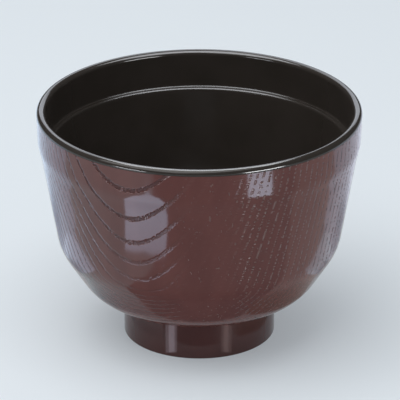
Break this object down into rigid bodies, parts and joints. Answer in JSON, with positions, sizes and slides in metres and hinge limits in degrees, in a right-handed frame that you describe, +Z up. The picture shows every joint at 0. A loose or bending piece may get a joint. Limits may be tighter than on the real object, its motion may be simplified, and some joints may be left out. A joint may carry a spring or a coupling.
{
  "type": "soup bowl",
  "caption": "Open lacquer soup bowl with a turned, wood-grained brown outside, a black lining with a rolled lip and an inner lid ledge, on a plain turned foot ring.",
  "frame": {"origin": "centre of the foot ring's resting face", "axes": "+Z up along the bowl's axis, -Y towards the front of the picture"},
  "size_m": [0.108, 0.108, 0.0801],
  "materials": {
    "brown_lacquer": "glossy red-brown lacquer over incised wood grain",
    "black_lacquer": "smooth glossy black lacquer",
    "foot_lacquer": "smooth glossy red-brown lacquer"
  },
  "bodies": {
    "root": {"outer_shell": "brown_lacquer", "inner_liner": "black_lacquer", "foot_ring": "foot_lacquer"}
  },
  "joints": []
}
